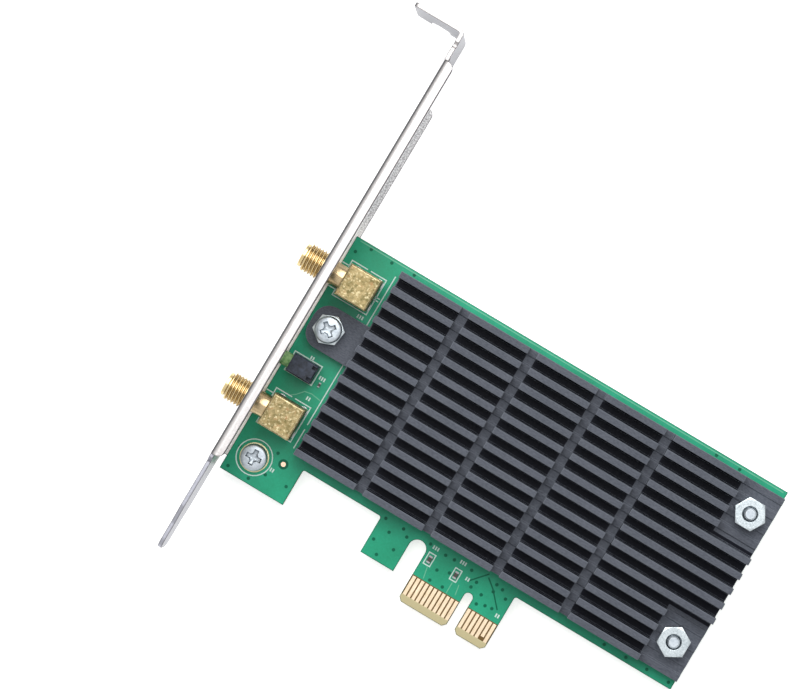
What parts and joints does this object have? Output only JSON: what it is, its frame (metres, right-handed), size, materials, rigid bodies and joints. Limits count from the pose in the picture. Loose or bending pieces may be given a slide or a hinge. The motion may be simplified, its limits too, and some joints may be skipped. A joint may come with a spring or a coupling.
{
  "type": "pcie wifi card",
  "caption": "Computer expansion card: black finned heatsink over a green board, threaded brass antenna jacks and a folded steel rear bracket with mounting tab.",
  "frame": {"origin": "middle of the edge connector's key slot, at the connector's tip, on the board's solder face", "axes": "+X from the bracket to the board's free end, +Y from the connector to the mounting tab, +Z out of the component side"},
  "size_m": [0.1145, 0.1201, 0.02],
  "materials": {
    "solder_mask": "glossy green solder mask over glass-fibre board",
    "plated_gold": "thin pale gold plating",
    "black_anodised": "satin black anodised aluminium",
    "jack_gold": "gold-plated brass, mottled on the flat top",
    "galvanised_sheet": "bright zinc-coated sheet steel",
    "zinc_screw": "bright zinc-plated steel",
    "nickel_nut": "bright nickel-plated steel",
    "tinned_lead": "tinned wire",
    "black_plastic": "matt black moulded plastic",
    "chip_black": "moulded chip package",
    "lamp_lens": "tinted clear resin",
    "insulator_white": "white insulating plastic",
    "pad_grey": "soft grey thermal pad",
    "ceramic_tan": "fired ceramic",
    "ferrite_grey": "sintered ferrite"
  },
  "bodies": {
    "root": {"circuit_board": "solder_mask", "edge_contacts": "plated_gold", "ground_pad": "plated_gold", "heatsink": "black_anodised", "rear_bracket": "galvanised_sheet", "antenna_jack_upper": "jack_gold", "antenna_jack_lower": "jack_gold", "jack_contact_upper": "plated_gold", "jack_contact_lower": "plated_gold", "jack_insulator_upper": "insulator_white", "jack_insulator_lower": "insulator_white", "upper_bracket_screw": "zinc_screw", "lower_bracket_screw": "zinc_screw", "hex_collar": "zinc_screw", "heatsink_bolts": "zinc_screw", "heatsink_nuts": "nickel_nut", "bolt_spacers": "black_plastic", "light_housing": "black_plastic", "light_lamp": "lamp_lens", "light_leads": "tinned_lead", "light_resistor": "chip_black", "wifi_chip": "chip_black", "radio_front_ends": "chip_black", "power_regulator": "chip_black", "power_inductor": "ferrite_grey", "clock_crystal": "tinned_lead", "thermal_pad": "pad_grey", "bypass_capacitors": "ceramic_tan", "coupling_capacitors": "ceramic_tan"}
  },
  "joints": []
}
